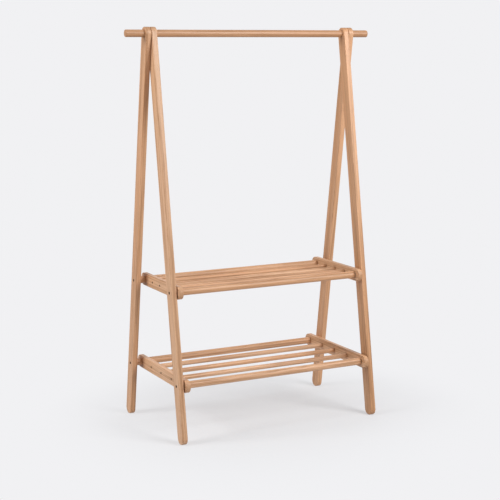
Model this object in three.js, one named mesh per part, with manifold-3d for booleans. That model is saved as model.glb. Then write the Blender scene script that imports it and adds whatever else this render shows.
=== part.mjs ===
// A-frame clothes rack in wood: a round hanging rail through the tops of four flat legs,
// with two shelves of round rods bolted between them.
// Millimetres, +Z up, X along the rail, -Y to the front. The origin is on the floor, under
// the middle of the rack.
import * as THREE from "three";
import { mergeVertices } from "three/addons/utils/BufferGeometryUtils.js";
import Module from "manifold-3d";

// Overall sizes
const HEIGHT = 1502; // floor to the tops of the legs
const FRAME_WIDTH = 872; // over the outer faces of the rear legs
const FOOT_SPREAD = 463; // front to rear, between the leg axes at the floor
const RAIL_OVERHANG = 72; // from a rear leg's outer face to the rail's end

// Wood sections
const LEG_WIDTH = 47;
const LEG_THICKNESS = 21;
const LEG_GAP = 1; // between a front leg and the rear leg outside it
const BAR_HEIGHT = 48;
const BAR_THICKNESS = 18;
const BAR_OVERHANG = 38; // from the front or rear rod's axis to the bar's tip
const RAIL_DIAMETER = 27;
const THICK_ROD_DIAMETER = 27; // front and rear rod of a shelf
const THIN_ROD_DIAMETER = 18; // the rods between them
const THIN_RODS = 3; // on each shelf
const EDGE_RADIUS = 2.5; // rounding along the legs' and bars' edges
const RAIL_CHAMFER = 1.5;
const FOOT_FLAT = 1.2; // how much of a foot's round end is flattened on the floor

// Heights of the shelves' rod axes
const UPPER_SHELF_HEIGHT = 548;
const LOWER_SHELF_HEIGHT = 211;

// Turned pieces and fasteners between a leg and a shelf
const SPACER_DIAMETER = 27;
const SPACER_EDGE = 1;
const WASHER_DIAMETER = 22;
const WASHER_THICKNESS = 3;
const BOLT_DIAMETER = 6;
const BOLT_HEAD_DIAMETER = 10.5;
const BOLT_HEAD_HEIGHT = 5;
const BOLT_HEAD_DEPTH = 0.6; // from the leg's face down to the head
const BOLT_SOCKET = 5; // across the socket's corners
const BOLT_SOCKET_DEPTH = 3;
const BOLT_REACH = 26; // length of bolt inside a rod
const INSERT_DIAMETER = 12;
const INSERT_LENGTH = 20;
const INSERT_DEPTH = 2; // from the rod's end down to the insert
const SCREW_DIAMETER = 4;
const SCREW_HEAD_DIAMETER = 8;
const SCREW_HEAD_DEPTH = 0.4; // from the wood's face down to the head
const SCREW_HEAD_HEIGHT = 2.5;
const SCREW_SOCKET = 2.5;
const SCREW_SOCKET_DEPTH = 1.6;
const SCREW_REACH = 32; // length of screw inside a thin rod
const RAIL_SCREW_REACH = 9; // length of screw inside the rail

const CLEARANCE = 0.3; // around a piece in its hole, and between two faces that meet

const DRILL_START = 1; // how far outside a face a drill starts, and how far past it ends

// Facets
const HEX_SIDES = 6;
const ROUND_SIDES = 24;
const SMALL_SIDES = 12;
const ARC_STEP = THREE.MathUtils.degToRad(18);
const EDGE_STEPS = 2;

// Places that follow from the sizes
const RAIL_AXIS_HEIGHT = HEIGHT - LEG_WIDTH / 2;
const RAIL_LENGTH = FRAME_WIDTH + 2 * RAIL_OVERHANG;
const REAR_LEG_X = FRAME_WIDTH / 2 - LEG_THICKNESS / 2;
const FRONT_LEG_X = REAR_LEG_X - LEG_THICKNESS - LEG_GAP;
const BAR_OUTER_X = FRONT_LEG_X - LEG_THICKNESS / 2 - WASHER_THICKNESS;
const BAR_X = BAR_OUTER_X - BAR_THICKNESS / 2;
const ROD_END_X = BAR_OUTER_X - BAR_THICKNESS - CLEARANCE;
const SHELVES = [
  { name: "upper", height: UPPER_SHELF_HEIGHT },
  { name: "lower", height: LOWER_SHELF_HEIGHT },
];
const SIDES = [
  { name: "left", sign: -1 },
  { name: "right", sign: 1 },
];
const ROWS = [
  { name: "front", sign: -1, legX: FRONT_LEG_X },
  { name: "rear", sign: 1, legX: REAR_LEG_X },
];

// Distance from the middle plane to a leg's axis at a height
const legAxisY = (height) => (FOOT_SPREAD / 2) * (1 - height / RAIL_AXIS_HEIGHT);

const wasm = await Module();
wasm.setup();

const material = (color, roughness, metalness) => () =>
  new THREE.MeshStandardMaterial({ color, roughness, metalness });
const wood = (color) => material(color, 0.55, 0);
const metal = (color) => material(color, 0.4, 0.9);
const finishes = {
  legWood: wood(0xc9a183),
  barWood: wood(0xc49b7c),
  rodWood: wood(0xceaa8d),
  boltSteel: metal(0x2a2624),
  insertBrass: metal(0xa58a4e),
};

const rack = new THREE.Group();

// A closed geometry as a solid that can be cut or joined.
function solid(geometry) {
  const bare = geometry.clone();
  bare.deleteAttribute("normal");
  bare.deleteAttribute("uv");
  const merged = mergeVertices(bare, 1e-4);
  return new wasm.Manifold(
    new wasm.Mesh({
      numProp: 3,
      vertProperties: new Float32Array(merged.attributes.position.array),
      triVerts: new Uint32Array(merged.index.array),
    }),
  );
}

// Adds a solid to the rack as one named piece.
function addPiece(name, body, finish) {
  const mesh = body.getMesh();
  const geometry = new THREE.BufferGeometry();
  geometry.setAttribute("position", new THREE.BufferAttribute(mesh.vertProperties, 3));
  geometry.setIndex(new THREE.BufferAttribute(mesh.triVerts, 1));
  geometry.computeVertexNormals();
  const piece = new THREE.Mesh(geometry, finish());
  piece.name = name;
  rack.add(piece);
}

// Turns geometry that was made along +Y so that its +Y points along `direction` from `start`.
function aim(geometry, start, direction) {
  const turn = new THREE.Quaternion().setFromUnitVectors(new THREE.Vector3(0, 1, 0), direction);
  return geometry.applyQuaternion(turn).translate(start.x, start.y, start.z);
}

// A turned solid: `profile` lists [radius, distance along the axis] from end to end.
function turned(profile, sides, start, direction) {
  const points = profile.map(([radius, along]) => new THREE.Vector2(radius, along));
  return solid(aim(new THREE.LatheGeometry(points, sides), start, direction));
}

// A straight round bar from `start`, also used as a drill.
function round(radius, length, sides, start, direction) {
  const bar = new THREE.CylinderGeometry(radius, radius, length, sides).translate(0, length / 2, 0);
  return solid(aim(bar, start, direction));
}

// A flat board: its outline is drawn front to back and upwards, and it is centred on `x`.
function board(outline, thickness, x) {
  const geometry = new THREE.ExtrudeGeometry(new THREE.Shape(outline), {
    depth: thickness - 2 * EDGE_RADIUS,
    bevelThickness: EDGE_RADIUS,
    bevelSize: EDGE_RADIUS,
    bevelOffset: -EDGE_RADIUS,
    bevelSegments: EDGE_STEPS,
  });
  geometry.translate(0, 0, EDGE_RADIUS - thickness / 2);
  const upright = new THREE.Matrix4().makeBasis(
    new THREE.Vector3(0, 1, 0),
    new THREE.Vector3(0, 0, 1),
    new THREE.Vector3(1, 0, 0),
  );
  return solid(geometry.applyMatrix4(upright).translate(x, 0, 0));
}

// Points round a circle, counter-clockwise from one angle to another.
function arc(centre, radius, from, to) {
  const steps = Math.max(1, Math.ceil((to - from) / ARC_STEP));
  const points = [];
  for (let i = 0; i <= steps; i++) {
    const angle = from + ((to - from) * i) / steps;
    points.push(new THREE.Vector2(
      centre.x + radius * Math.cos(angle),
      centre.y + radius * Math.sin(angle),
    ));
  }
  return points;
}

const inward = (side) => new THREE.Vector3(-side.sign, 0, 0);

// Cuts from a board the hole of a fastener that enters its outer face: the shank's hole right
// through, and a wider hole for the head.
function drill(body, side, outerX, y, z, thickness, hole) {
  const start = new THREE.Vector3(side.sign * (outerX + DRILL_START), y, z);
  const depth = thickness + 2 * DRILL_START;
  const through = round(hole.shank / 2 + CLEARANCE, depth, SMALL_SIDES, start, inward(side));
  if (!hole.head) return body.subtract(through);
  const recessDepth = DRILL_START + hole.headDepth + hole.headHeight + CLEARANCE;
  const recess = round(hole.head / 2 + CLEARANCE, recessDepth, SMALL_SIDES, start, inward(side));
  return body.subtract(through).subtract(recess);
}

const plainBoltHole = { shank: BOLT_DIAMETER };
const headedBoltHole = {
  shank: BOLT_DIAMETER,
  head: BOLT_HEAD_DIAMETER,
  headDepth: BOLT_HEAD_DEPTH,
  headHeight: BOLT_HEAD_HEIGHT,
};
const screwHole = {
  shank: SCREW_DIAMETER,
  head: SCREW_HEAD_DIAMETER,
  headDepth: SCREW_HEAD_DEPTH,
  headHeight: SCREW_HEAD_HEIGHT,
};

// The screw that stops the rail in a rear leg: where it starts and which way it points.
function railScrewLine(side) {
  const slope = Math.atan2(FOOT_SPREAD / 2, RAIL_AXIS_HEIGHT);
  const direction = new THREE.Vector3(0, -Math.cos(slope), -Math.sin(slope));
  const start = new THREE.Vector3(side.sign * REAR_LEG_X, 0, RAIL_AXIS_HEIGHT)
    .addScaledVector(direction, -LEG_WIDTH / 2);
  return { start, direction };
}

const railScrewLength = LEG_WIDTH / 2 - RAIL_DIAMETER / 2 + RAIL_SCREW_REACH;

function railScrewHole(side) {
  const { start, direction } = railScrewLine(side);
  const outside = start.clone().addScaledVector(direction, -DRILL_START);
  const depth = DRILL_START + railScrewLength + CLEARANCE;
  const recess = DRILL_START + SCREW_HEAD_DEPTH + SCREW_HEAD_HEIGHT + CLEARANCE;
  return round(SCREW_DIAMETER / 2 + CLEARANCE, depth, SMALL_SIDES, outside, direction)
    .add(round(SCREW_HEAD_DIAMETER / 2 + CLEARANCE, recess, SMALL_SIDES, outside, direction));
}

// A leg: round at the top about the rail, round at the foot with a small flat on the floor.
function leg(row, side) {
  const radius = LEG_WIDTH / 2;
  const footHeight = radius - FOOT_FLAT;
  const top = new THREE.Vector2(0, RAIL_AXIS_HEIGHT);
  const foot = new THREE.Vector2(row.sign * legAxisY(footHeight), footHeight);
  const across = Math.atan2(top.y - foot.y, top.x - foot.x) - Math.PI / 2;
  const flat = Math.asin(footHeight / radius);
  const outline = [
    ...arc(top, radius, across, across + Math.PI),
    ...arc(foot, radius, across + Math.PI, Math.PI + flat),
    ...arc(foot, radius, 2 * Math.PI - flat, across + 2 * Math.PI),
  ];
  let body = board(outline, LEG_THICKNESS, side.sign * row.legX);
  const outerX = row.legX + LEG_THICKNESS / 2;
  const railHole = new THREE.Vector3(side.sign * (outerX + DRILL_START), 0, RAIL_AXIS_HEIGHT);
  const depth = LEG_THICKNESS + 2 * DRILL_START;
  body = body.subtract(
    round(RAIL_DIAMETER / 2 + CLEARANCE, depth, ROUND_SIDES, railHole, inward(side)),
  );
  for (const shelf of SHELVES) {
    const y = row.sign * legAxisY(shelf.height);
    body = drill(body, side, outerX, y, shelf.height, LEG_THICKNESS, headedBoltHole);
  }
  if (row.name === "rear") body = body.subtract(railScrewHole(side));
  addPiece(`${row.name}_leg_${side.name}`, body, finishes.legWood);
}

function hangingRail() {
  const radius = RAIL_DIAMETER / 2;
  const profile = [
    [0, 0],
    [radius - RAIL_CHAMFER, 0],
    [radius, RAIL_CHAMFER],
    [radius, RAIL_LENGTH - RAIL_CHAMFER],
    [radius - RAIL_CHAMFER, RAIL_LENGTH],
    [0, RAIL_LENGTH],
  ];
  const start = new THREE.Vector3(-RAIL_LENGTH / 2, 0, RAIL_AXIS_HEIGHT);
  let body = turned(profile, ROUND_SIDES, start, new THREE.Vector3(1, 0, 0));
  for (const side of SIDES) body = body.subtract(railScrewHole(side));
  addPiece("hanging_rail", body, finishes.rodWood);
}

// Distances of a shelf's thin rods from the middle plane: the gaps between all its rods are equal.
function thinRodPlaces(shelf) {
  const between = 2 * legAxisY(shelf.height) - THICK_ROD_DIAMETER - THIN_RODS * THIN_ROD_DIAMETER;
  const pitch = between / (THIN_RODS + 1) + THIN_ROD_DIAMETER;
  return Array.from({ length: THIN_RODS }, (_, i) => (i - (THIN_RODS - 1) / 2) * pitch);
}

function shelfBar(shelf, side) {
  const radius = BAR_HEIGHT / 2;
  const rodY = legAxisY(shelf.height);
  const reach = rodY + BAR_OVERHANG - radius;
  const outline = [
    ...arc(new THREE.Vector2(reach, shelf.height), radius, -Math.PI / 2, Math.PI / 2),
    ...arc(new THREE.Vector2(-reach, shelf.height), radius, Math.PI / 2, (3 * Math.PI) / 2),
  ];
  let body = board(outline, BAR_THICKNESS, side.sign * BAR_X);
  for (const row of ROWS) {
    const y = row.sign * rodY;
    body = drill(body, side, BAR_OUTER_X, y, shelf.height, BAR_THICKNESS, plainBoltHole);
  }
  for (const y of thinRodPlaces(shelf)) {
    body = drill(body, side, BAR_OUTER_X, y, shelf.height, BAR_THICKNESS, screwHole);
  }
  addPiece(`${shelf.name}_shelf_bar_${side.name}`, body, finishes.barWood);
}

// A rod between the shelf's two bars, with holes in its ends for what holds it.
function shelfRod(name, diameter, y, z, endHoles) {
  const axis = new THREE.Vector3(1, 0, 0);
  const end = new THREE.Vector3(-ROD_END_X, y, z);
  let body = round(diameter / 2, 2 * ROD_END_X, ROUND_SIDES, end, axis);
  for (const side of SIDES) {
    for (const [radius, depth] of endHoles) {
      const start = new THREE.Vector3(side.sign * (ROD_END_X + DRILL_START), y, z);
      body = body.subtract(round(radius, depth + DRILL_START, SMALL_SIDES, start, inward(side)));
    }
  }
  addPiece(name, body, finishes.rodWood);
}

function thickRod(shelf, row) {
  const endHoles = [
    [INSERT_DIAMETER / 2 + CLEARANCE, INSERT_DEPTH + INSERT_LENGTH + CLEARANCE],
    [BOLT_DIAMETER / 2 + CLEARANCE, BOLT_REACH + CLEARANCE],
  ];
  const y = row.sign * legAxisY(shelf.height);
  shelfRod(`${shelf.name}_${row.name}_rod`, THICK_ROD_DIAMETER, y, shelf.height, endHoles);
}

function thinRod(shelf, y, number) {
  const endHoles = [[SCREW_DIAMETER / 2 + CLEARANCE, SCREW_REACH + CLEARANCE]];
  shelfRod(`${shelf.name}_thin_rod_${number}`, THIN_ROD_DIAMETER, y, shelf.height, endHoles);
}

// A round sleeve about a bolt, from `outerX` inwards, with its outer edges cut off by `edge`.
function sleeve(name, side, y, z, outerX, size, finish) {
  const { length, edge, sides } = size;
  const radius = size.diameter / 2;
  const bore = BOLT_DIAMETER / 2 + CLEARANCE;
  const outside = edge
    ? [[radius - edge, 0], [radius, edge], [radius, length - edge], [radius - edge, length]]
    : [[radius, 0], [radius, length]];
  const profile = [[bore, 0], ...outside, [bore, length], [bore, 0]];
  const start = new THREE.Vector3(side.sign * outerX, y, z);
  addPiece(name, turned(profile, sides, start, inward(side)), finish);
}

// What keeps a shelf bar off a leg: a turned spacer at a rear leg, a thin washer at a front leg.
function spacer(shelf, row, side) {
  const y = row.sign * legAxisY(shelf.height);
  const outerX = row.legX - LEG_THICKNESS / 2 - CLEARANCE;
  const length = outerX - BAR_OUTER_X - CLEARANCE;
  if (row.name === "rear") {
    const name = `${shelf.name}_spacer_${side.name}`;
    const size = { diameter: SPACER_DIAMETER, length, edge: SPACER_EDGE, sides: ROUND_SIDES };
    sleeve(name, side, y, shelf.height, outerX, size, finishes.rodWood);
  } else {
    const name = `${shelf.name}_washer_${side.name}`;
    const size = { diameter: WASHER_DIAMETER, length, edge: 0, sides: SMALL_SIDES };
    sleeve(name, side, y, shelf.height, outerX, size, finishes.boltSteel);
  }
}

// A headed fastener that points inwards from an outer face, with a six-sided socket in its head.
function fastener(name, start, direction, size) {
  const point = size.shank / 4;
  const profile = [
    [0, 0],
    [size.head / 2, 0],
    [size.neck / 2, size.headHeight],
    [size.shank / 2, size.headHeight],
    [size.shank / 2, size.length - point],
    [size.shank / 2 - point, size.length],
    [0, size.length],
  ];
  const at = start.clone().addScaledVector(direction, size.depth);
  const above = at.clone().addScaledVector(direction, -DRILL_START);
  const socketRadius = size.socket / 2;
  const socket = round(socketRadius, size.socketDepth + DRILL_START, HEX_SIDES, above, direction);
  addPiece(name, turned(profile, SMALL_SIDES, at, direction).subtract(socket), finishes.boltSteel);
}

function legBolt(shelf, row, side) {
  const outerX = row.legX + LEG_THICKNESS / 2;
  const y = row.sign * legAxisY(shelf.height);
  fastener(
    `${shelf.name}_${row.name}_bolt_${side.name}`,
    new THREE.Vector3(side.sign * outerX, y, shelf.height),
    inward(side),
    {
      depth: BOLT_HEAD_DEPTH,
      head: BOLT_HEAD_DIAMETER,
      headHeight: BOLT_HEAD_HEIGHT,
      neck: BOLT_HEAD_DIAMETER - 2 * CLEARANCE,
      shank: BOLT_DIAMETER,
      length: outerX - BOLT_HEAD_DEPTH - ROD_END_X + BOLT_REACH,
      socket: BOLT_SOCKET,
      socketDepth: BOLT_SOCKET_DEPTH,
    },
  );
}

const screwSize = (length) => ({
  depth: SCREW_HEAD_DEPTH,
  head: SCREW_HEAD_DIAMETER,
  headHeight: SCREW_HEAD_HEIGHT,
  neck: SCREW_DIAMETER + CLEARANCE,
  shank: SCREW_DIAMETER,
  length,
  socket: SCREW_SOCKET,
  socketDepth: SCREW_SOCKET_DEPTH,
});

function rodScrew(shelf, side, y, number) {
  const length = BAR_OUTER_X - SCREW_HEAD_DEPTH - ROD_END_X + SCREW_REACH;
  const start = new THREE.Vector3(side.sign * BAR_OUTER_X, y, shelf.height);
  fastener(`${shelf.name}_rod_screw_${side.name}_${number}`, start, inward(side), screwSize(length));
}

function railScrew(side) {
  const { start, direction } = railScrewLine(side);
  fastener(`rail_screw_${side.name}`, start, direction, screwSize(railScrewLength - SCREW_HEAD_DEPTH));
}

// The threaded sleeve in a thick rod's end, which a leg bolt screws into.
function insert(shelf, row, side) {
  const name = `${shelf.name}_${row.name}_insert_${side.name}`;
  const y = row.sign * legAxisY(shelf.height);
  const outerX = ROD_END_X - INSERT_DEPTH;
  const size = { diameter: INSERT_DIAMETER, length: INSERT_LENGTH, edge: 0, sides: SMALL_SIDES };
  sleeve(name, side, y, shelf.height, outerX, size, finishes.insertBrass);
}

hangingRail();
for (const side of SIDES) {
  for (const row of ROWS) leg(row, side);
  railScrew(side);
}
for (const shelf of SHELVES) {
  for (const row of ROWS) {
    thickRod(shelf, row);
    for (const side of SIDES) {
      spacer(shelf, row, side);
      legBolt(shelf, row, side);
      insert(shelf, row, side);
    }
  }
  for (const side of SIDES) shelfBar(shelf, side);
  thinRodPlaces(shelf).forEach((y, i) => {
    thinRod(shelf, y, i + 1);
    for (const side of SIDES) rodScrew(shelf, side, y, i + 1);
  });
}

export default rack;
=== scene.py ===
"""Finishes a wooden A-frame clothes rack: its boards, turned rods and fasteners, their
materials, and a plain studio stage."""

import math
from contextlib import contextmanager

import bmesh
import bpy
from mathutils import Euler, Matrix, Vector


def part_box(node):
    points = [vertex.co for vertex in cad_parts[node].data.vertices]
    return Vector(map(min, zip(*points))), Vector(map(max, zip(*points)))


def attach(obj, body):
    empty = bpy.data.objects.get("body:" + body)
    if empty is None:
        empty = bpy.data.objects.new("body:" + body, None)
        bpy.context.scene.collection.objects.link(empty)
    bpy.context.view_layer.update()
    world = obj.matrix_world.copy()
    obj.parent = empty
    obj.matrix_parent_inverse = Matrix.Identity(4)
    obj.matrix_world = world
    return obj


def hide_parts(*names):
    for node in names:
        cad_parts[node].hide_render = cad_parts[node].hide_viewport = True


bl_info = {
    "name": "A-Frame Clothes Rack",
    "version": (1, 0, 0),
    "blender": (4, 5, 0),
    "location": "3D View > Sidebar > Clothes Rack",
    "description": "Models and finishes a wooden clothes rack around its frame",
    "category": "Object",
}

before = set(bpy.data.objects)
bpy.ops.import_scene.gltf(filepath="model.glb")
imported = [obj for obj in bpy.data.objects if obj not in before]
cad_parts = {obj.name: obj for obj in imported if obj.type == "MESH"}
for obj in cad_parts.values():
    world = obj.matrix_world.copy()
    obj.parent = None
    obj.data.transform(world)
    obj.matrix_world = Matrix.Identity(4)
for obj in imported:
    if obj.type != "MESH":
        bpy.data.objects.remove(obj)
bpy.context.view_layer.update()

MM = 0.001
TINY = 1e-6
FOOT_FLAT = 1.2 * MM  # how much of a foot's round end is flattened on the floor
DRILL_START = 1 * MM  # how far outside a face a drill starts, and how far past it ends
RAIL_SCREW_REACH = 9 * MM  # length of screw inside the rail
BOLT_HOLE = 33 * MM  # depth of the hole in a rod's end for a bolt or a screw
SLEEVE_HOLE = 23 * MM  # depth of the wider hole for a threaded sleeve
STEEL_EDGE = 0.25 * MM  # rounding of the edges of bolts and screws
WASHER_EDGE = 0.3 * MM  # rounding of a washer's edges
SLEEVE_EDGE = 0.4 * MM  # rounding of a threaded sleeve's edges
SOCKET_DEPTH = 0.6  # depth of a socket, as a share of its head's height
BODY = "root"
SIDES = {"left": -1, "right": 1}
ROWS = ("front", "rear")
SHELVES = ("upper", "lower")
THIN_RODS = (1, 2, 3)
X_AXIS, Y_AXIS, Z_AXIS = Vector((1, 0, 0)), Vector((0, 1, 0)), Vector((0, 0, 1))


# ---------------------------------------------------------------- places from the frame


def middle(node):
    """The middle of a node's box."""
    low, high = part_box(node)
    return (low + high) / 2


def span(node):
    """The size of a node's box."""
    low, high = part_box(node)
    return high - low


def outer_face(node, side):
    """How far out along the rail a node's outer face stands, with its sign."""
    low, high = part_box(node)
    return low.x if SIDES[side] < 0 else high.x


RAIL = middle("hanging_rail")
RAIL_RADIUS = span("hanging_rail").z / 2


def rod_place(shelf, row):
    """The middle of a shelf's front or rear rod."""
    return middle(f"{shelf}_{row}_rod")


def leg_direction(row):
    """The direction of a leg's grain, from foot to top, through the two shelves' bolts."""
    low, high = rod_place("lower", row), rod_place("upper", row)
    return (high - low).normalized()


# ---------------------------------------------------------------- settings


def size(name, description, default, most=100):
    """A length setting, given in millimetres."""
    return bpy.props.FloatProperty(
        name=name,
        description=description,
        default=default * MM,
        min=0,
        max=most * MM,
        precision=4,
        unit="LENGTH",
        subtype="DISTANCE",
    )


def metres(name, description, default):
    """A length setting, given in metres."""
    return bpy.props.FloatProperty(
        name=name, description=description, default=default, min=0, unit="LENGTH", subtype="DISTANCE"
    )


def place(name, description, default):
    """A place, given in metres."""
    return bpy.props.FloatVectorProperty(
        name=name, description=description, default=default, size=3, unit="LENGTH", subtype="TRANSLATION"
    )


def angle(name, description, default):
    """An angle setting, given in degrees."""
    return bpy.props.FloatProperty(
        name=name, description=description, default=math.radians(default), subtype="ANGLE"
    )


def power(name, description, default):
    """A light's power in watts."""
    return bpy.props.FloatProperty(
        name=name, description=description, default=default, min=0, unit="POWER", subtype="POWER"
    )


def share(name, description, default, most=1.0):
    """A plain number setting."""
    return bpy.props.FloatProperty(
        name=name, description=description, default=default, min=0, max=most, subtype="FACTOR"
    )


def colour(name, description, default):
    """A colour setting in linear values."""
    return bpy.props.FloatVectorProperty(
        name=name, description=description, default=default, size=3, min=0, max=1, subtype="COLOR"
    )


class RackShapes(bpy.types.PropertyGroup):
    """Sizes of the wooden pieces' details."""

    leg_width: size("Leg width", "Width of a leg across its flat face", 47)
    bar_height: size("Bar height", "Height of a shelf's side bar", 48)
    edge_radius: size("Edge radius", "Rounding along the edges of the legs and bars", 2.5, 10)
    rim_radius: size("Rim radius", "Softening of the edges of drilled holes", 0.4, 2)
    rail_end_radius: size("Rail end radius", "Rounding of the hanging rail's ends", 2, 10)
    rod_end_radius: size("Rod end radius", "Rounding of the shelf rods' ends", 4.2, 8)
    spacer_edge_radius: size("Spacer edge radius", "Rounding of the spacers' edges", 1, 5)
    clearance: size("Clearance", "Room around a piece in its hole", 0.3, 2)


class RackFasteners(bpy.types.PropertyGroup):
    """Sizes of the bolts and screws."""

    bolt_head: size("Bolt head", "Diameter of a bolt's head", 10.5, 20)
    bolt_head_height: size("Bolt head height", "Height of a bolt's head", 5, 20)
    bolt_shank: size("Bolt shank", "Diameter of a bolt", 6, 12)
    bolt_depth: size("Bolt depth", "How deep a bolt's head sits in the leg", 0.6, 10)
    bolt_socket: size("Bolt socket", "Width of the socket in a bolt's head", 5.6, 8)
    screw_head: size("Screw head", "Diameter of a screw's head", 8, 12)
    screw_head_height: size("Screw head height", "Height of a screw's head", 2.5, 8)
    screw_shank: size("Screw shank", "Diameter of a screw", 4, 8)
    screw_depth: size("Screw depth", "How deep a screw's head sits in the wood", 0.4, 6)
    screw_socket: size("Screw socket", "Width of the socket in a screw's head", 2.5, 6)


class RackFinishes(bpy.types.PropertyGroup):
    """Colours and gloss of the materials."""

    wood_light: colour("Light wood", "The palest wood between its growth rings", (0.735, 0.452, 0.270))
    wood_warm: colour("Warm wood", "The more orange wood of the warmer pieces", (0.672, 0.350, 0.174))
    wood_dark: colour("Dark wood", "The dark edge of a growth ring", (0.420, 0.210, 0.098))
    fleck: colour("Flecks", "The short brown flecks in the wood", (0.290, 0.150, 0.075))
    ring_gap: size("Ring gap", "Distance between growth rings", 3.2, 20)
    rings: share("Rings", "Strength of the growth rings", 0.36)
    streaks: share("Streaks", "Strength of the long dark streaks", 0.74)
    fibres: share("Fibres", "Strength of the fine fibres", 0.36)
    flecks: share("Fleck strength", "Strength of the short flecks", 0.45)
    end_grain: share("End grain", "How much darker the cut ends are", 0.55)
    roughness: share("Roughness", "Roughness of the satin finish", 0.46)
    steel: colour("Steel", "The blackened steel of bolts and screws", (0.006, 0.005, 0.005))
    worn_steel: colour("Worn steel", "The steel where its black has worn", (0.045, 0.04, 0.035))
    brass: colour("Brass", "The brass of the threaded sleeves", (0.480, 0.330, 0.120))
    worn_brass: colour("Worn brass", "The brass where it is rubbed bright", (0.60, 0.46, 0.22))


class RackStage(bpy.types.PropertyGroup):
    """The camera, floor and lights."""

    camera_place: place("Camera place", "Where the camera stands", (-2.13235, -4.16446, 1.4268))
    camera_yaw: angle("Camera yaw", "Turn to the right", 27.01)
    camera_pitch: angle("Camera pitch", "Tilt down", 9.39)
    camera_roll: angle("Camera roll", "Lean of the camera", -0.2)
    lens: bpy.props.FloatProperty(
        name="Lens", description="Focal length in millimetres", default=88.17, min=10, max=300
    )
    backdrop: colour("Backdrop", "Colour of the seamless backdrop", (0.879, 0.879, 0.896))
    floor: colour("Floor", "Colour of the floor under the rack", (0.700, 0.707, 0.722))
    fade_start: metres("Fade start", "Distance from the rack at which the floor starts to fade", 0.2)
    fade_end: metres("Fade end", "Distance at which the floor has become the backdrop", 0.95)
    fade_near: share("Fade near", "Share of the backdrop's white in the floor under the rack", 0.38)
    floor_light: share("Floor light", "How much of its brightness the floor throws back", 0.7)
    room_light: share("Room light", "Brightness of the room's walls against its backdrop", 0.09)
    ceiling_light: share("Ceiling light", "Brightness of the ceiling against the backdrop", 0.6, 3)
    back_light: share("Back light", "How much of its brightness the backdrop throws on the rack", 0.9, 3)
    shadow_middle: place("Shadow middle", "The place round which the floor fades", (0.05, -0.05, 0))
    light_aim: place("Light aim", "The place that the softboxes face", (0, 0, 0.7))
    left_place: place("Left light place", "Where the left softbox stands", (-4.0, 0.3, 2.6))
    left_width: metres("Left light width", "Width of the left softbox", 2.0)
    left_power: power("Left light", "Power of the left softbox", 116)
    front_place: place("Front light place", "Where the softbox to the front right stands", (1.6, -2.9, 2.6))
    front_width: metres("Front light width", "Width of the softbox to the front right", 1.8)
    front_power: power("Front light", "Power of the softbox to the front right", 118)


# ---------------------------------------------------------------- shader building


class Wire:
    """A shader's value. Arithmetic on it adds Math nodes."""

    def __init__(self, shader, socket):
        self.shader = shader
        self.socket = socket

    def maths(self, operation, *values):
        """A Math node on one or two values."""
        return self.shader.node("ShaderNodeMath", {"operation": operation}, dict(enumerate(values)))

    def __add__(self, other):
        return self.maths("ADD", self, other)

    def __radd__(self, other):
        return self.maths("ADD", other, self)

    def __sub__(self, other):
        return self.maths("SUBTRACT", self, other)

    def __rsub__(self, other):
        return self.maths("SUBTRACT", other, self)

    def __mul__(self, other):
        return self.maths("MULTIPLY", self, other)

    def __rmul__(self, other):
        return self.maths("MULTIPLY", other, self)

    def __truediv__(self, other):
        return self.maths("DIVIDE", self, other)

    def __rtruediv__(self, other):
        return self.maths("DIVIDE", other, self)

    def __pow__(self, other):
        return self.maths("POWER", self, other)

    def __abs__(self):
        return self.maths("ABSOLUTE", self)

    def fraction(self):
        """What is left over a whole number."""
        return self.maths("FRACT", self)

    def ramp(self, low, high):
        """0 below `low`, 1 above `high`, and smooth between them."""
        return self.shader.node(
            "ShaderNodeMapRange",
            {"interpolation_type": "SMOOTHSTEP"},
            {"Value": self, "From Min": low, "From Max": high},
        )


class Shader:
    """The nodes of a material or a world, emptied and ready to be added to."""

    def __init__(self, owner):
        self.owner = owner
        owner.use_nodes = True
        self.tree = owner.node_tree
        self.tree.nodes.clear()

    def node(self, kind, settings=None, inputs=None, output=0):
        """Adds a node, sets it and its sockets, and returns one of its outputs."""
        made = self.tree.nodes.new(kind)
        for key, value in (settings or {}).items():
            setattr(made, key, value)
        for key, value in (inputs or {}).items():
            if isinstance(value, Wire):
                self.tree.links.new(value.socket, made.inputs[key])
            else:
                made.inputs[key].default_value = value
        return Wire(self, made.outputs[output]) if made.outputs else made

    def mix(self, factor, first, second):
        """A mix of two colours, through the colour sockets of a Mix node."""
        inputs = {0: factor, 6: opaque(first), 7: opaque(second)}
        return self.node("ShaderNodeMix", {"data_type": "RGBA"}, inputs, 2)

    def vector(self, operation, first, second, output=0):
        """A Vector Math node on two vectors."""
        return self.node("ShaderNodeVectorMath", {"operation": operation}, {0: first, 1: second}, output)

    def noise(self, where, scale, detail=2.0, roughness=0.5):
        """Noise from 0 to 1; `scale` may differ along the three axes."""
        stretched = self.vector("MULTIPLY", where, scale)
        inputs = {"Vector": stretched, "Scale": 1.0, "Detail": detail, "Roughness": roughness}
        return self.node("ShaderNodeTexNoise", None, inputs)

    def part(self, vector, axis):
        """One axis of a vector."""
        return self.node("ShaderNodeSeparateXYZ", None, {0: vector}, axis)

    def object_place(self):
        """A point's place on its piece."""
        return self.node("ShaderNodeTexCoord", None, None, "Object")

    def normal(self):
        """The direction that a surface faces."""
        return self.node("ShaderNodeNewGeometry", None, None, "Normal")

    def bump(self, height, strength, distance):
        """A normal raised and lowered by a height from 0 to 1."""
        inputs = {"Height": height, "Strength": strength, "Distance": distance}
        return self.node("ShaderNodeBump", None, inputs)

    def surface(self, inputs):
        """Ends the material in a Principled shader with these sockets."""
        named = {key: opaque(value) for key, value in inputs.items()}
        shader = self.node("ShaderNodeBsdfPrincipled", None, named)
        self.node("ShaderNodeOutputMaterial", None, {"Surface": shader})
        return self.owner


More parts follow.
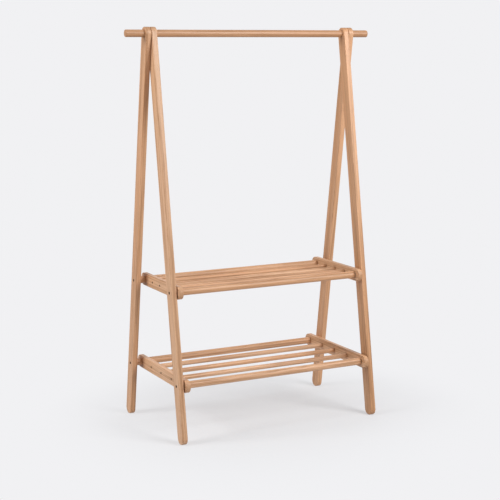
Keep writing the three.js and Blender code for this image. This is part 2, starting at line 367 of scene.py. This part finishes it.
def opaque(value):
    """A colour of three numbers with its alpha; anything else as it is."""
    if isinstance(value, (Wire, float, int)):
        return value
    return (*value, 1) if len(value) == 3 else value


# ---------------------------------------------------------------- materials


# How often a pattern repeats in a metre: twice across the grain, and along it.
SWAY = (9, 9, 1.4)
STREAKS = (110, 110, 2.4)
BROAD_BANDS = (30, 30, 1.1)
FIBRES = (900, 900, 14)
FLECKS = (1300, 1300, 150)
PATCHES = (6, 6, 3)

SEED_SPREAD = 3  # how far, in metres, a seed moves the pattern
TRUNK_DISTANCE = 0.055  # from a piece to the middle of the trunk it was cut from
PAINTED_TOP_LIGHT_HEIGHTS = (0.1, 1.4)  # between which a piece with a painted top light gets lighter: painted light, standing in for light that falls more on the piece's top


def wood(name, along, seed, warmth=0.5, depth=0.0, painted_top_light=0.0):
    """Satin clear-coated beech whose grain runs along a direction. The seed moves the pattern, so
    that no two pieces share their grain, the warmth makes a piece more orange, and the depth makes
    it darker. With a painted top light, the piece gets lighter from the floor up: painted light for
    the light that falls more on its top."""
    looks = bpy.context.scene.rack_finishes
    shader = Shader(bpy.data.materials.new(name))
    turn = along.rotation_difference(Z_AXIS).to_euler()
    shift = Vector((math.sin(seed * 1.7), math.cos(seed * 2.3), math.sin(seed * 0.9))) * SEED_SPREAD
    grain = shader.node(
        "ShaderNodeMapping",
        {"vector_type": "POINT"},
        {"Vector": shader.object_place(), "Rotation": turn, "Location": shift},
    )

    # The trunk's middle lies beside the piece and leans a little, so the rings run out of its faces.
    sway = shader.noise(grain, SWAY, 2)
    lean = 0.012 + 0.006 * math.sin(seed * 5.1)
    trunk_x = TRUNK_DISTANCE * math.cos(seed) - shift.x
    trunk_y = TRUNK_DISTANCE * math.sin(seed) - shift.y
    out_x = shader.part(grain, "X") + shader.part(grain, "Z") * lean + sway * 0.03 + trunk_x
    out_y = shader.part(grain, "Y") + sway * 0.02 + trunk_y
    ring = ((out_x * out_x + out_y * out_y) ** 0.5 / looks.ring_gap).fraction()
    late_wood = ring.ramp(0.35, 0.92) - ring.ramp(0.92, 1.0)

    streaks = shader.noise(grain, STREAKS, 3, 0.6).ramp(0.44, 0.66)
    bands = shader.noise(grain, BROAD_BANDS, 2, 0.5).ramp(0.35, 0.68)
    fibres = shader.noise(grain, FIBRES, 3, 0.65)
    flecks = shader.noise(grain, FLECKS, 1, 0.5).ramp(0.62, 0.72)
    patches = shader.noise(grain, PATCHES, 2) * 0.7 + 0.6

    tone = shader.mix((bands + 0.5) * warmth, looks.wood_light, looks.wood_warm)
    lines = late_wood * looks.rings + streaks * looks.streaks + fibres.ramp(0.42, 0.68) * looks.fibres
    dark = lines * patches + depth
    # Painted light: a piece with a painted top light gets lighter from the floor up, with painted shade
    # near the floor and a painted lighter top.
    if painted_top_light:
        dark = dark - shader.part(shader.object_place(), "Z").ramp(*PAINTED_TOP_LIGHT_HEIGHTS) * painted_top_light
    tone = shader.mix(dark, tone, looks.wood_dark)
    tone = shader.mix(flecks * looks.flecks, tone, looks.fleck)

    # Cut ends drink in more of the finish and look darker.
    facing = shader.vector("DOT_PRODUCT", shader.normal(), tuple(along), "Value")
    cut_end = abs(facing).ramp(0.45, 0.92)
    tone = shader.mix(cut_end * looks.end_grain, tone, looks.wood_dark)

    roughness = looks.roughness + (fibres - 0.5) * 0.12 + cut_end * 0.12 + late_wood * 0.03
    height = fibres * 0.6 - flecks * 0.5 + late_wood * 0.25
    return shader.surface({
        "Base Color": tone,
        "Roughness": roughness,
        "Normal": shader.bump(height, 0.2, 0.4 * MM),
        "Specular IOR Level": 0.5,
        "Coat Weight": 0.1,
        "Coat Roughness": 0.32,
    })


WEAR = (240, 240, 240)
SCRATCHES = (900, 2600, 2600)  # drawn out along the rack


def metal(name, base, worn, roughness):
    """Machined metal with fine scratches and slightly worn patches."""
    shader = Shader(bpy.data.materials.new(name))
    where = shader.object_place()
    wear = shader.noise(where, WEAR, 4, 0.6).ramp(0.5, 0.72)
    scratches = shader.noise(where, SCRATCHES, 3, 0.7)
    return shader.surface({
        "Base Color": shader.mix(wear * 0.4, base, worn),
        "Metallic": 1.0,
        "Roughness": roughness + wear * 0.14 + scratches * 0.1,
        "Normal": shader.bump(scratches, 0.12, 0.2 * MM),
    })


# ---------------------------------------------------------------- modelling helpers


def only(piece):
    """Selects one piece and makes it the active one."""
    if bpy.context.object and bpy.context.object.mode != "OBJECT":
        bpy.ops.object.mode_set(mode="OBJECT")
    bpy.ops.object.select_all(action="DESELECT")
    piece.select_set(True)
    bpy.context.view_layer.objects.active = piece


@contextmanager
def editing(piece):
    """Edit mode on one piece."""
    only(piece)
    bpy.ops.object.mode_set(mode="EDIT")
    yield
    bpy.ops.object.mode_set(mode="OBJECT")


def pick(piece, kind, test):
    """Selects the faces or edges that pass a test, and no others, in edit mode."""
    bpy.ops.mesh.select_mode(type=kind)
    bpy.ops.mesh.select_all(action="DESELECT")
    mesh = bmesh.from_edit_mesh(piece.data)
    for part in mesh.faces if kind == "FACE" else mesh.edges:
        if test(part):
            part.select_set(True)
    mesh.select_flush_mode()
    bmesh.update_edit_mesh(piece.data)


def settle(piece):
    """Puts a piece's place, turn and scale into its mesh."""
    only(piece)
    bpy.ops.object.transform_apply(location=True, rotation=True, scale=True)


def apply_modifier(piece, kind, **settings):
    """Adds a modifier with these settings and applies it."""
    only(piece)
    modifier = piece.modifiers.new(kind.title(), kind)
    for key, value in settings.items():
        setattr(modifier, key, value)
    bpy.ops.object.modifier_apply(modifier=modifier.name)


def cylinder(name, radius, start, direction, length, sides=48):
    """A plain cylinder from a start point along a direction, to be shaped or used as a drill."""
    bpy.ops.object.select_all(action="DESELECT")
    bpy.ops.mesh.primitive_cylinder_add(
        vertices=sides,
        radius=radius,
        depth=length,
        location=start + direction * length / 2,
        rotation=direction.to_track_quat("Z", "Y").to_euler(),
    )
    made = bpy.context.object
    made.name = name
    settle(made)
    return made


def drill(piece, start, direction, radius, depth, sides=48):
    """Cuts a round hole from a start point along a direction."""
    bit = cylinder("drill", radius, start, direction, depth, sides)
    apply_modifier(piece, "BOOLEAN", operation="DIFFERENCE", solver="EXACT", object=bit)
    bpy.data.objects.remove(bit)


def soften(piece, radius, angle=50, segments=2):
    """Rounds every edge sharper than an angle."""
    apply_modifier(
        piece,
        "BEVEL",
        width=radius,
        segments=segments,
        limit_method="ANGLE",
        angle_limit=math.radians(angle),
        use_clamp_overlap=True,
    )


def board(name, thickness, width, length, edge_radius):
    """An upright board with half-round ends, `length` between the ends' centres, round about
    the origin, with its edges rounded."""
    bpy.ops.object.select_all(action="DESELECT")
    bpy.ops.mesh.primitive_cube_add(size=1, scale=(thickness, width, length + width))
    made = bpy.context.object
    made.name = name
    settle(made)
    end = (length + width) / 2

    def across(edge):
        return abs(edge.verts[0].co.x - edge.verts[1].co.x)

    def at_an_end(edge):
        return across(edge) > thickness / 2 and all(abs(abs(v.co.z) - end) < TINY for v in edge.verts)

    def round_a_face(edge):
        return across(edge) < TINY and all(abs(abs(v.co.x) - thickness / 2) < TINY for v in edge.verts)

    with editing(made):
        pick(made, "EDGE", at_an_end)
        bpy.ops.mesh.bevel(offset=width / 2, segments=24, profile=0.5, affect="EDGES", clamp_overlap=False)
        bpy.ops.mesh.select_all(action="SELECT")
        bpy.ops.mesh.remove_doubles(threshold=10 * TINY)
        bpy.ops.mesh.dissolve_degenerate(threshold=TINY)
        pick(made, "EDGE", round_a_face)
        bpy.ops.mesh.bevel(offset=edge_radius, segments=5, profile=0.5, affect="EDGES", clamp_overlap=False)
        bpy.ops.mesh.select_all(action="SELECT")
        bpy.ops.mesh.normals_make_consistent(inside=False)
    return made


def turned(name, radius, start, direction, length, end_radius, sides=64):
    """A turned round piece with rounded ends."""
    made = cylinder(name, radius, start, direction, length, sides)
    soften(made, end_radius, 50, 4)
    return made


def copied(piece, name):
    """A copy of a piece with its own mesh."""
    copy = piece.copy()
    copy.data = piece.data.copy()
    copy.name = name
    bpy.context.scene.collection.objects.link(copy)
    return copy


def moved(piece, to):
    """Moves a piece that stands at the origin to its place."""
    piece.location = to
    settle(piece)
    return piece


def mirrored(piece, name):
    """A copy on the other side of the rack's middle plane, with its faces turned right way out."""
    copy = copied(piece, name)
    copy.scale.x = -1
    settle(copy)
    with editing(copy):
        bpy.ops.mesh.select_all(action="SELECT")
        bpy.ops.mesh.normals_make_consistent(inside=False)
    return copy


def finish(piece, node, material, angle=30):
    """Smooths a piece, gives it its material, and puts it in the place of its frame node."""
    piece.name = "finished_" + node
    piece.data.name = piece.name
    only(piece)
    bpy.ops.object.shade_smooth_by_angle(angle=math.radians(angle))
    apply_modifier(piece, "WEIGHTED_NORMAL", keep_sharp=True)
    piece.data.materials.clear()
    piece.data.materials.append(material)
    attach(piece, BODY)
    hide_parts(node)


# ---------------------------------------------------------------- pieces


# How warm a leg's wood is, how much darker it is all over, and how much lighter it gets towards its top.
# On the front right leg the darkening and the lighter top are painted light: painted shade low down
# and a painted lighter top, for the light that falls more on that leg's top.
LEG_TONES_AND_PAINTED_LIGHT = {
    "front_leg_left": (0.15, 0.0, 0.0),
    "front_leg_right": (0.7, 0.16, 0.4),
    "rear_leg_left": (0.85, 0.0, 0.0),
    "rear_leg_right": (1.0, -0.03, 0.0),
}


class RACK_OT_legs(bpy.types.Operator):
    """Models the four legs, each drilled for the rail and the shelves' bolts"""

    bl_idname = "rack.legs"
    bl_label = "Legs"

    def execute(self, context):
        for number, row in enumerate(ROWS):
            left = self.leg(row)
            right = mirrored(left, f"{row}_leg_right")
            for side, piece in (("left", left), ("right", right)):
                node = f"{row}_leg_{side}"
                seed = 11 + 7 * number + 3 * SIDES[side]
                material = wood(node + "_beech", leg_direction(row), seed, *LEG_TONES_AND_PAINTED_LIGHT[node])
                finish(piece, node, material)
        return {"FINISHED"}

    def leg(self, row):
        """A left leg."""
        shapes = bpy.context.scene.rack_shapes
        bolts = bpy.context.scene.rack_fasteners
        node = f"{row}_leg_left"
        thickness = span(node).x
        centre_x = middle(node).x
        along = leg_direction(row)
        top = Vector((centre_x, 0, RAIL.z))
        foot_height = shapes.leg_width / 2 - FOOT_FLAT
        drop = (RAIL.z - foot_height) / along.z
        foot = top - along * drop
        made = board(node, thickness, shapes.leg_width, drop, shapes.edge_radius)
        made.rotation_euler.x = -math.atan2(along.y, along.z)
        made.location = (top + foot) / 2
        settle(made)
        outside = outer_face(node, "left") - DRILL_START
        through = thickness + 2 * DRILL_START
        rail_radius = RAIL_RADIUS + shapes.clearance
        drill(made, Vector((outside, 0, RAIL.z)), X_AXIS, rail_radius, through, 64)
        for shelf in SHELVES:
            start = rod_place(shelf, row)
            start.x = outside
            drill(made, start, X_AXIS, bolts.bolt_shank / 2 + shapes.clearance, through)
            recess = DRILL_START + bolts.bolt_depth + bolts.bolt_head_height + shapes.clearance
            drill(made, start, X_AXIS, bolts.bolt_head / 2 + shapes.clearance, recess)
        if row == "rear":
            drill_for_rail_screw(made, "left")
        soften(made, shapes.rim_radius, 60)
        with editing(made):
            bpy.ops.mesh.select_all(action="SELECT")
            bpy.ops.mesh.bisect(
                plane_co=(0, 0, 0), plane_no=(0, 0, 1), threshold=TINY, clear_inner=True, use_fill=True
            )
        return made


def rail_screw_line(side):
    """Where the screw that stops the rail enters a rear leg's edge, and its direction."""
    width = bpy.context.scene.rack_shapes.leg_width
    grain = leg_direction("rear")
    inward = Vector((0, -grain.z, grain.y))
    start = Vector((middle(f"rear_leg_{side}").x, 0, RAIL.z)) - inward * width / 2
    return start, inward


def drill_for_rail_screw(piece, side):
    """Drills a rear leg, or the rail, for the screw that stops the rail."""
    shapes = bpy.context.scene.rack_shapes
    screws = bpy.context.scene.rack_fasteners
    start, inward = rail_screw_line(side)
    outside = start - inward * DRILL_START
    depth = DRILL_START + shapes.leg_width / 2 - RAIL_RADIUS + RAIL_SCREW_REACH + shapes.clearance
    drill(piece, outside, inward, screws.screw_shank / 2 + shapes.clearance, depth, 32)
    recess = DRILL_START + screws.screw_depth + screws.screw_head_height + shapes.clearance
    drill(piece, outside, inward, screws.screw_head / 2 + shapes.clearance, recess, 32)


class RACK_OT_rail(bpy.types.Operator):
    """Models the round hanging rail"""

    bl_idname = "rack.rail"
    bl_label = "Hanging Rail"

    def execute(self, context):
        shapes = context.scene.rack_shapes
        low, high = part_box("hanging_rail")
        start = Vector((low.x, 0, RAIL.z))
        rail = turned("rail", RAIL_RADIUS, start, X_AXIS, high.x - low.x, shapes.rail_end_radius)
        for side in SIDES:
            drill_for_rail_screw(rail, side)
        finish(rail, "hanging_rail", wood("hanging_rail_beech", X_AXIS, 5, 0.7, 0.42))
        return {"FINISHED"}


class RACK_OT_shelf_bars(bpy.types.Operator):
    """Models the side bars of the two shelves"""

    bl_idname = "rack.shelf_bars"
    bl_label = "Shelf Bars"

    def execute(self, context):
        for number, shelf in enumerate(SHELVES):
            left = self.bar(shelf)
            right = mirrored(left, f"{shelf}_shelf_bar_right")
            for side, piece in (("left", left), ("right", right)):
                node = f"{shelf}_shelf_bar_{side}"
                seed = 31 + 5 * number + 2 * SIDES[side]
                material = wood(node + "_beech", Y_AXIS, seed, 0.3, -0.1)
                finish(piece, node, material)
        return {"FINISHED"}

    def bar(self, shelf):
        """A left bar."""
        shapes = bpy.context.scene.rack_shapes
        fasteners = bpy.context.scene.rack_fasteners
        node = f"{shelf}_shelf_bar_left"
        whole = span(node)
        made = board(node, whole.x, shapes.bar_height, whole.y - shapes.bar_height, shapes.edge_radius)
        made.rotation_euler.x = math.pi / 2
        made.location = middle(node)
        settle(made)
        outside = outer_face(node, "left") - DRILL_START
        through = whole.x + 2 * DRILL_START
        for row in ROWS:
            start = rod_place(shelf, row)
            start.x = outside
            drill(made, start, X_AXIS, fasteners.bolt_shank / 2 + shapes.clearance, through)
        for number in THIN_RODS:
            start = middle(f"{shelf}_thin_rod_{number}")
            start.x = outside
            drill(made, start, X_AXIS, fasteners.screw_shank / 2 + shapes.clearance, through, 32)
            recess = DRILL_START + fasteners.screw_depth + fasteners.screw_head_height + shapes.clearance
            drill(made, start, X_AXIS, fasteners.screw_head / 2 + shapes.clearance, recess, 32)
        soften(made, shapes.rim_radius, 60)
        return made


class RACK_OT_shelf_rods(bpy.types.Operator):
    """Models the thick and thin rods of the two shelves"""

    bl_idname = "rack.shelf_rods"
    bl_label = "Shelf Rods"

    def execute(self, context):
        thick = self.rod("upper_front_rod")
        thin = self.rod("upper_thin_rod_1")
        seed = 50
        for shelf in SHELVES:
            for row in ROWS:
                seed += 3
                self.place(thick, f"{shelf}_{row}_rod", seed)
            for number in THIN_RODS:
                seed += 3
                self.place(thin, f"{shelf}_thin_rod_{number}", seed)
        for pattern in (thick, thin):
            bpy.data.objects.remove(pattern)
        return {"FINISHED"}

    def rod(self, node):
        """A rod about the origin, with holes in its ends for what holds it."""
        shapes = bpy.context.scene.rack_shapes
        fasteners = bpy.context.scene.rack_fasteners
        whole = span(node)
        half = whole.x / 2
        made = turned(node, whole.z / 2, -X_AXIS * half, X_AXIS, whole.x, shapes.rod_end_radius)
        if "thin" in node:
            holes = [(fasteners.screw_shank / 2, BOLT_HOLE)]
        else:
            sleeve = span("upper_front_insert_left").z / 2
            holes = [(fasteners.bolt_shank / 2, BOLT_HOLE), (sleeve, SLEEVE_HOLE)]
        for sign in SIDES.values():
            start = X_AXIS * sign * (half + DRILL_START)
            for radius, depth in holes:
                drill(made, start, -X_AXIS * sign, radius + shapes.clearance, depth + DRILL_START, 32)
        return made

    def place(self, pattern, node, seed):
        """Puts a copy of a rod where a shelf has one."""
        piece = moved(copied(pattern, node), middle(node))
        warmth = 0.5 + 0.3 * math.sin(seed)
        finish(piece, node, wood(node + "_beech", X_AXIS, seed, warmth))


def ring(name, node, edge_radius, sides=48):
    """A ring about the X axis and the origin, of a node's size, with a bolt's hole through it."""
    shapes = bpy.context.scene.rack_shapes
    fasteners = bpy.context.scene.rack_fasteners
    whole = span(node)
    half = whole.x / 2
    made = turned(name, whole.z / 2, -X_AXIS * half, X_AXIS, whole.x, edge_radius, sides)
    bore = fasteners.bolt_shank / 2 + shapes.clearance
    drill(made, -X_AXIS * (half + DRILL_START), X_AXIS, bore, whole.x + 2 * DRILL_START, 32)
    return made


class RACK_OT_spacers(bpy.types.Operator):
    """Models the wooden spacers and steel washers between the legs and the shelves"""

    bl_idname = "rack.spacers"
    bl_label = "Spacers and Washers"

    def execute(self, context):
        shapes = context.scene.rack_shapes
        spacer = ring("spacer", "upper_spacer_left", shapes.spacer_edge_radius, 64)
        washer = ring("washer", "upper_washer_left", WASHER_EDGE)
        steel = dark_steel()
        seed = 90
        for shelf in SHELVES:
            for side in SIDES:
                seed += 4
                node = f"{shelf}_spacer_{side}"
                piece = moved(copied(spacer, node), middle(node))
                finish(piece, node, wood(node + "_beech", X_AXIS, seed, 1.0, 0.16))
                node = f"{shelf}_washer_{side}"
                piece = moved(copied(washer, node), middle(node))
                finish(piece, node, steel)
        for pattern in (spacer, washer):
            bpy.data.objects.remove(pattern)
        return {"FINISHED"}


def dark_steel():
    """The blackened steel that all bolts, screws and washers share."""
    looks = bpy.context.scene.rack_finishes
    found = bpy.data.materials.get("blackened_steel")
    return found or metal("blackened_steel", looks.steel, looks.worn_steel, 0.45)


def fastener(name, head, head_height, shank, length, socket, countersunk):
    """A headed fastener from the origin along +X, with a six-sided socket in its head."""
    made = cylinder(name, head / 2, Vector((0, 0, 0)), X_AXIS, head_height, 48)
    with editing(made):
        pick(made, "FACE", lambda face: face.normal.x > 0.9)
        if countersunk:
            narrow = shank / head
            bpy.ops.transform.resize(value=(1, narrow, narrow), center_override=(head_height, 0, 0))
        else:
            bpy.ops.mesh.inset(thickness=(head - shank) / 2)
        point = shank / 3
        for step in (length - head_height - point, point):
            bpy.ops.mesh.extrude_region_move(TRANSFORM_OT_translate={"value": (step, 0, 0)})
        bpy.ops.transform.resize(value=(1, 0.5, 0.5), center_override=(length, 0, 0))
    socket_depth = head_height * SOCKET_DEPTH
    drill(made, -X_AXIS * DRILL_START, X_AXIS, socket / 2, DRILL_START + socket_depth, 6)
    soften(made, STEEL_EDGE, 40)
    return made


def facing_in(pattern, node, side):
    """A copy of a fastener that points along +X, in its node's place and pointing to the rack's
    middle."""
    piece = copied(pattern, node)
    piece.rotation_euler.z = 0 if SIDES[side] < 0 else math.pi
    piece.location = middle(node)
    piece.location.x = outer_face(node, side)
    settle(piece)
    return piece


class RACK_OT_bolts(bpy.types.Operator):
    """Models the bolts through the legs"""

    bl_idname = "rack.bolts"
    bl_label = "Bolts"

    def execute(self, context):
        sizes = context.scene.rack_fasteners
        for row in ROWS:
            length = span(f"upper_{row}_bolt_left").x
            pattern = fastener(
                row, sizes.bolt_head, sizes.bolt_head_height, sizes.bolt_shank, length,
                sizes.bolt_socket, False,
            )
            for shelf in SHELVES:
                for side in SIDES:
                    node = f"{shelf}_{row}_bolt_{side}"
                    finish(facing_in(pattern, node, side), node, dark_steel())
            bpy.data.objects.remove(pattern)
        return {"FINISHED"}


class RACK_OT_screws(bpy.types.Operator):
    """Models the screws that hold the thin rods and the rail"""

    bl_idname = "rack.screws"
    bl_label = "Screws"

    def execute(self, context):
        pattern = self.screw(span("upper_rod_screw_left_1").x)
        for shelf in SHELVES:
            for side in SIDES:
                for number in THIN_RODS:
                    node = f"{shelf}_rod_screw_{side}_{number}"
                    finish(facing_in(pattern, node, side), node, dark_steel())
        bpy.data.objects.remove(pattern)
        self.rail_screws(context)
        return {"FINISHED"}

    def screw(self, length):
        """A countersunk screw about the X axis."""
        sizes = bpy.context.scene.rack_fasteners
        return fastener(
            "screw", sizes.screw_head, sizes.screw_head_height, sizes.screw_shank, length,
            sizes.screw_socket, True,
        )

    def rail_screws(self, context):
        """The screws from the backs of the rear legs into the rail."""
        sizes = context.scene.rack_fasteners
        width = context.scene.rack_shapes.leg_width
        length = width / 2 - RAIL_RADIUS + RAIL_SCREW_REACH - sizes.screw_depth
        pattern = self.screw(length)
        for side in SIDES:
            start, inward = rail_screw_line(side)
            piece = copied(pattern, "rail_screw")
            piece.rotation_mode = "QUATERNION"
            piece.rotation_quaternion = X_AXIS.rotation_difference(inward)
            piece.location = start + inward * sizes.screw_depth
            settle(piece)
            finish(piece, f"rail_screw_{side}", dark_steel())
        bpy.data.objects.remove(pattern)


class RACK_OT_inserts(bpy.types.Operator):
    """Models the threaded sleeves in the thick rods"""

    bl_idname = "rack.inserts"
    bl_label = "Threaded Sleeves"

    def execute(self, context):
        looks = context.scene.rack_finishes
        brass = metal("sleeve_brass", looks.brass, looks.worn_brass, 0.3)
        pattern = ring("sleeve", "upper_front_insert_left", SLEEVE_EDGE)
        for shelf in SHELVES:
            for row in ROWS:
                for side in SIDES:
                    node = f"{shelf}_{row}_insert_{side}"
                    piece = moved(copied(pattern, node), middle(node))
                    finish(piece, node, brass)
        bpy.data.objects.remove(pattern)
        return {"FINISHED"}


class RACK_OT_stage(bpy.types.Operator):
    """Sets up the floor, the seamless backdrop, the lights and the camera"""

    bl_idname = "rack.stage"
    bl_label = "Stage"

    def execute(self, context):
        self.floor(context)
        self.camera(context)
        self.lights(context)
        context.scene.view_settings.view_transform = "Standard"
        return {"FINISHED"}

    def floor(self, context):
        """A wide floor that takes the rack's soft shadow and fades into the backdrop's white."""
        stage = context.scene.rack_stage
        bpy.ops.object.select_all(action="DESELECT")
        bpy.ops.mesh.primitive_plane_add(size=60)
        floor = bpy.context.object
        floor.name = "floor"
        shader = Shader(bpy.data.materials.new("floor"))
        flat = shader.vector("MULTIPLY", shader.object_place(), (1, 1, 0))
        distance = shader.vector("DISTANCE", flat, stage.shadow_middle, "Value")
        far = distance.ramp(stage.fade_start, stage.fade_end) * (1 - stage.fade_near) + stage.fade_near
        matt = shader.node("ShaderNodeBsdfDiffuse", None, {"Color": opaque(stage.floor)})
        seen = shader.node("ShaderNodeLightPath", None, None, "Is Camera Ray")
        strength = seen * (1 - stage.floor_light) + stage.floor_light
        inputs = {"Color": opaque(stage.backdrop), "Strength": strength}
        white = shader.node("ShaderNodeEmission", None, inputs)
        mixed = shader.node("ShaderNodeMixShader", None, {0: far, 1: matt, 2: white})
        shader.node("ShaderNodeOutputMaterial", None, {"Surface": mixed})
        floor.data.materials.append(shader.owner)

    def camera(self, context):
        """The camera, aimed by its turn, tilt and lean."""
        stage = context.scene.rack_stage
        bpy.ops.object.camera_add(location=stage.camera_place)
        camera = bpy.context.object
        camera.data.lens = stage.lens
        camera.data.sensor_width = 36
        look = Euler((math.pi / 2 - stage.camera_pitch, 0, -stage.camera_yaw)).to_matrix()
        camera.rotation_euler = (look @ Matrix.Rotation(stage.camera_roll, 3, "Z")).to_euler()
        camera.data.clip_end = 200
        context.scene.camera = camera

    def lights(self, context):
        """Two large softboxes, one to the left and one to the front right, in a dim pale room whose
        backdrop, ahead of the camera, and ceiling are brighter."""
        stage = context.scene.rack_stage
        world = bpy.data.worlds.new("studio")
        shader = Shader(world)
        seen = shader.node("ShaderNodeLightPath", None, None, "Is Camera Ray")
        direction = shader.node("ShaderNodeTexCoord", None, None, "Generated")
        upward = shader.part(direction, "Z").ramp(0, 1)
        aim = (math.sin(stage.camera_yaw), math.cos(stage.camera_yaw), 0)
        ahead = shader.vector("DOT_PRODUCT", direction, aim, "Value").ramp(0.55, 0.95)
        light = upward * (stage.ceiling_light - stage.room_light) + stage.room_light
        light = light + ahead * stage.back_light
        strength = seen + (1 - seen) * light
        inputs = {"Color": opaque(stage.backdrop), "Strength": strength}
        room = shader.node("ShaderNodeBackground", None, inputs)
        shader.node("ShaderNodeOutputWorld", None, {"Surface": room})
        context.scene.world = world
        self.softbox("left_light", stage.left_place, stage.left_width, stage.left_power)
        self.softbox("front_light", stage.front_place, stage.front_width, stage.front_power)

    def softbox(self, name, stand, width, watts):
        """A square area light that faces the middle of the rack."""
        bpy.ops.object.light_add(type="AREA", location=stand)
        light = bpy.context.object
        light.name = name
        light.data.size = width
        light.data.energy = watts
        aim = Vector(bpy.context.scene.rack_stage.light_aim) - Vector(stand)
        light.rotation_euler = aim.to_track_quat("-Z", "Y").to_euler()


class RACK_PT_panel(bpy.types.Panel):
    """Lists the rack's pieces in the sidebar"""

    bl_idname = "RACK_PT_panel"
    bl_label = "Clothes Rack"
    bl_space_type = "VIEW_3D"
    bl_region_type = "UI"
    bl_category = "Clothes Rack"

    def draw(self, context):
        for operator in OPERATORS:
            self.layout.operator(operator.bl_idname)
        for group in GROUPS:
            settings = getattr(context.scene, group)
            for name in settings.bl_rna.properties.keys():
                if name not in ("rna_type", "name"):
                    self.layout.prop(settings, name)


GROUPS = {
    "rack_shapes": RackShapes,
    "rack_fasteners": RackFasteners,
    "rack_finishes": RackFinishes,
    "rack_stage": RackStage,
}
OPERATORS = (
    RACK_OT_stage,
    RACK_OT_legs,
    RACK_OT_rail,
    RACK_OT_shelf_bars,
    RACK_OT_shelf_rods,
    RACK_OT_spacers,
    RACK_OT_bolts,
    RACK_OT_screws,
    RACK_OT_inserts,
)


def register():
    for kind in (*GROUPS.values(), *OPERATORS, RACK_PT_panel):
        bpy.utils.register_class(kind)
    for name, kind in GROUPS.items():
        setattr(bpy.types.Scene, name, bpy.props.PointerProperty(type=kind))


def unregister():
    for name in GROUPS:
        delattr(bpy.types.Scene, name)
    for kind in reversed((*GROUPS.values(), *OPERATORS, RACK_PT_panel)):
        bpy.utils.unregister_class(kind)


def main():
    register()
    bpy.ops.rack.stage()
    bpy.ops.rack.legs()
    bpy.ops.rack.rail()
    bpy.ops.rack.shelf_bars()
    bpy.ops.rack.shelf_rods()
    bpy.ops.rack.spacers()
    bpy.ops.rack.bolts()
    bpy.ops.rack.screws()
    bpy.ops.rack.inserts()


if __name__ == "__main__":
    main()
